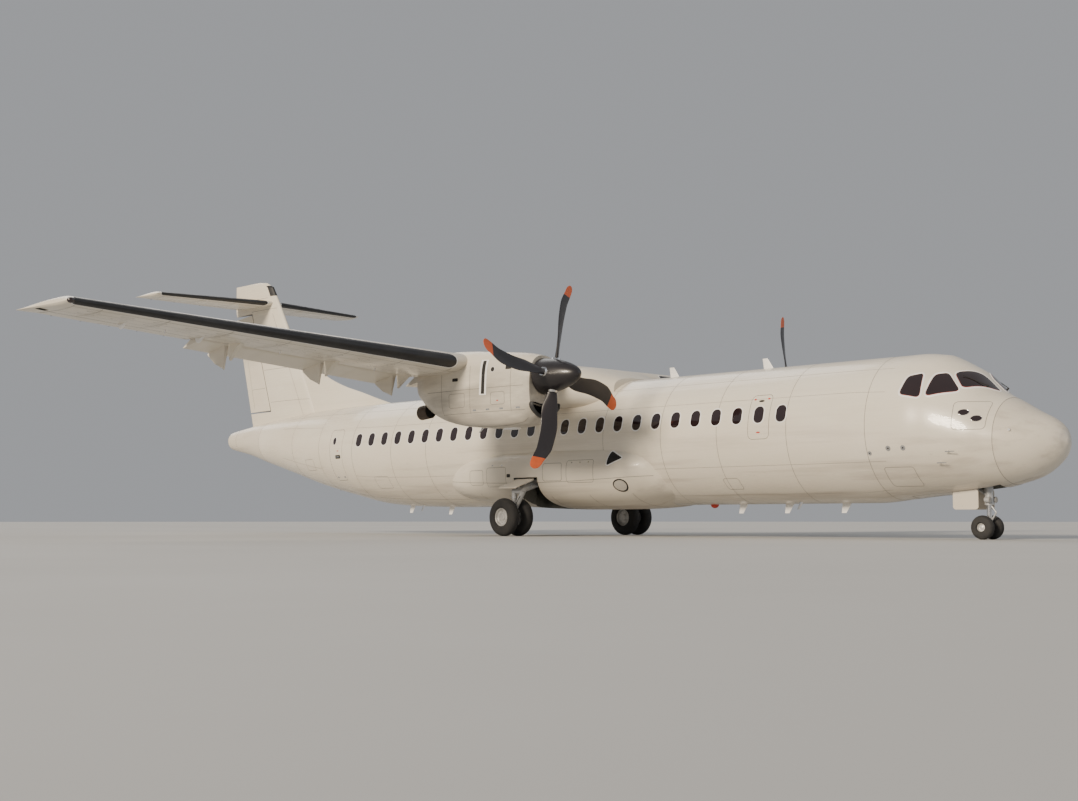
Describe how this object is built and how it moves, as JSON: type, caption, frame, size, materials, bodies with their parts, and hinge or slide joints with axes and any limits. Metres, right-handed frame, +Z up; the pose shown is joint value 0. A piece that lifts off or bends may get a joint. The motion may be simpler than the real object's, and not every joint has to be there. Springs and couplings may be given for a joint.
{
  "type": "twin-turboprop regional airliner",
  "caption": "High-wing turboprop airliner on its wheels: T-tail, curved-blade propellers, flaps part down, gear in fuselage-side pods, hinged doors and control surfaces.",
  "frame": {"origin": "on the ground below the middle of the aircraft's length, on the plane of symmetry", "axes": "+X to port, -Y to the nose, +Z up"},
  "size_m": [27.05, 27.17, 7.65],
  "materials": {
    "paint": "satin white paint on sheet metal",
    "paint_light": "satin white paint on light alloy",
    "paint_composite": "satin white paint on composite skin",
    "engine_metal": "bare metal",
    "spinner_black": "satin black",
    "blade_black": "satin black with orange tips",
    "gear_steel": "satin grey enamel",
    "rim": "satin silver",
    "tyre": "matt black rubber",
    "cockpit_glass": "dark windscreen glass in a light frame"
  },
  "bodies": {
    "airframe": {"radome": "paint_composite", "nose_fuselage": "paint", "cockpit_glazing_left": "cockpit_glass", "cockpit_glazing_right": "cockpit_glass", "centre_fuselage": "paint", "rear_fuselage": "paint_light", "tail_cone": "paint_composite", "service_door": "paint", "emergency_exit_left": "paint", "emergency_exit_right": "paint", "belly_fairing": "paint_composite", "wing_root_fairing": "paint_composite", "wing_centre": "paint_light", "wing_outer_left": "paint_light", "wing_outer_right": "paint_light", "engine_cowl_left": "paint_composite", "engine_cowl_right": "paint_composite", "engine_left": "engine_metal", "engine_right": "engine_metal", "nacelle_rear_left": "paint_composite", "nacelle_rear_right": "paint_composite", "fin": "paint_composite", "dorsal_fin": "paint_composite", "tailplane": "paint_composite", "main_gear_leg_left": "gear_steel", "main_gear_leg_right": "gear_steel", "nose_gear_leg": "gear_steel", "nose_gear_door_left": "paint", "nose_gear_door_right": "paint"},
    "aileron_left": {"aileron_left": "paint_composite"},
    "aileron_right": {"aileron_right": "paint_composite"},
    "spoiler_left": {"spoiler_left": "paint_composite"},
    "spoiler_right": {"spoiler_right": "paint_composite"},
    "flap_inner_left": {"flap_inner_left": "paint_composite"},
    "flap_inner_right": {"flap_inner_right": "paint_composite"},
    "flap_outer_left": {"flap_outer_left": "paint_composite"},
    "flap_outer_right": {"flap_outer_right": "paint_composite"},
    "propeller_left": {"propeller_left": "blade_black", "spinner_left": "spinner_black"},
    "propeller_right": {"propeller_right": "blade_black", "spinner_right": "spinner_black"},
    "rudder": {"rudder": "paint_composite"},
    "elevator_left": {"elevator_left": "paint_composite"},
    "elevator_right": {"elevator_right": "paint_composite"},
    "passenger_door": {"passenger_door": "paint"},
    "cargo_door": {"cargo_door": "paint"},
    "main_wheels_left": {"main_wheels_left": "rim", "main_tyre_inner_left": "tyre", "main_tyre_outer_left": "tyre"},
    "main_wheels_right": {"main_wheels_right": "rim", "main_tyre_inner_right": "tyre", "main_tyre_outer_right": "tyre"},
    "nose_steering": {"nose_gear_fork": "gear_steel"},
    "nose_wheels": {"nose_wheels": "rim", "nose_tyre_left": "tyre", "nose_tyre_right": "tyre"}
  },
  "joints": [
    {"name": "aileron_left_hinge", "type": "hinge", "parent": "airframe", "child": "aileron_left", "pos_m": [9.99, -0.6588, 3.9909], "axis": [0.9981, -0.013, 0.0601], "range_deg": [-14, 14]},
    {"name": "aileron_right_hinge", "type": "hinge", "parent": "airframe", "child": "aileron_right", "pos_m": [-9.99, -0.6588, 3.9909], "axis": [0.9981, 0.013, -0.0601], "range_deg": [-14, 14]},
    {"name": "spoiler_left_hinge", "type": "hinge", "parent": "airframe", "child": "spoiler_left", "pos_m": [7, -1.0908, 4.0064], "axis": [0.9989, 0.0122, 0.0442], "range_deg": [0, 57]},
    {"name": "spoiler_right_hinge", "type": "hinge", "parent": "airframe", "child": "spoiler_right", "pos_m": [-7, -1.0908, 4.0064], "axis": [0.9989, -0.0122, -0.0442], "range_deg": [0, 57]},
    {"name": "flap_outer_left_hinge", "type": "hinge", "parent": "airframe", "child": "flap_outer_left", "pos_m": [4.87, -0.5919, 3.1225], "axis": [0.9981, -0.013, 0.0601], "range_deg": [-15, 15]},
    {"name": "flap_outer_right_hinge", "type": "hinge", "parent": "airframe", "child": "flap_outer_right", "pos_m": [-4.87, -0.5919, 3.1225], "axis": [0.9981, 0.013, -0.0601], "range_deg": [-15, 15]},
    {"name": "flap_inner_left_hinge", "type": "hinge", "parent": "airframe", "child": "flap_inner_left", "pos_m": [1.45, -0.5914, 3.0801], "axis": [1, 0, 0], "range_deg": [-15, 15]},
    {"name": "flap_inner_right_hinge", "type": "hinge", "parent": "airframe", "child": "flap_inner_right", "pos_m": [-1.45, -0.5914, 3.0801], "axis": [1, 0, 0], "range_deg": [-15, 15]},
    {"name": "propeller_left_shaft", "type": "hinge", "parent": "airframe", "child": "propeller_left", "pos_m": [4.05, -4.585, 3.315], "axis": [0, 1, 0], "continuous": true},
    {"name": "propeller_right_shaft", "type": "hinge", "parent": "airframe", "child": "propeller_right", "pos_m": [-4.05, -4.585, 3.315], "axis": [0, 1, 0], "continuous": true},
    {"name": "rudder_hinge", "type": "hinge", "parent": "airframe", "child": "rudder", "pos_m": [0, 11.395, 3.62], "axis": [0, 0.3614, 0.9324], "range_deg": [-27, 27]},
    {"name": "elevator_left_hinge", "type": "hinge", "parent": "airframe", "child": "elevator_left", "pos_m": [0.33, 12.8027, 6.93], "axis": [0.9997, 0.0246, 0], "range_deg": [-13, 23]},
    {"name": "elevator_right_hinge", "type": "hinge", "parent": "airframe", "child": "elevator_right", "pos_m": [-0.33, 12.8027, 6.93], "axis": [0.9997, -0.0246, 0], "range_deg": [-13, 23]},
    {"name": "passenger_door_hinge", "type": "hinge", "parent": "airframe", "child": "passenger_door", "pos_m": [0.98, 6.545, 1.33], "axis": [0, 1, 0], "range_deg": [0, 125]},
    {"name": "cargo_door_hinge", "type": "hinge", "parent": "airframe", "child": "cargo_door", "pos_m": [1.222, -9.1675, 2.882], "axis": [0, -1, 0], "range_deg": [0, 110]},
    {"name": "main_wheels_left_axle", "type": "hinge", "parent": "airframe", "child": "main_wheels_left", "pos_m": [2.05, -1.185, 0.432], "axis": [1, 0, 0], "continuous": true},
    {"name": "main_wheels_right_axle", "type": "hinge", "parent": "airframe", "child": "main_wheels_right", "pos_m": [-2.05, -1.185, 0.432], "axis": [1, 0, 0], "continuous": true},
    {"name": "nose_steering_pivot", "type": "hinge", "parent": "airframe", "child": "nose_steering", "pos_m": [0, -12, 0.64], "axis": [0, 0, 1], "range_deg": [-60, 60]},
    {"name": "nose_wheels_axle", "type": "hinge", "parent": "nose_steering", "child": "nose_wheels", "pos_m": [0, -11.955, 0.225], "axis": [1, 0, 0], "continuous": true}
  ],
  "couplings": [
    {"joint": "aileron_right_hinge", "follows": "aileron_left_hinge", "ratio": -1},
    {"joint": "flap_outer_right_hinge", "follows": "flap_outer_left_hinge", "ratio": 1},
    {"joint": "flap_inner_left_hinge", "follows": "flap_outer_left_hinge", "ratio": 1},
    {"joint": "flap_inner_right_hinge", "follows": "flap_outer_left_hinge", "ratio": 1},
    {"joint": "elevator_right_hinge", "follows": "elevator_left_hinge", "ratio": 1}
  ]
}
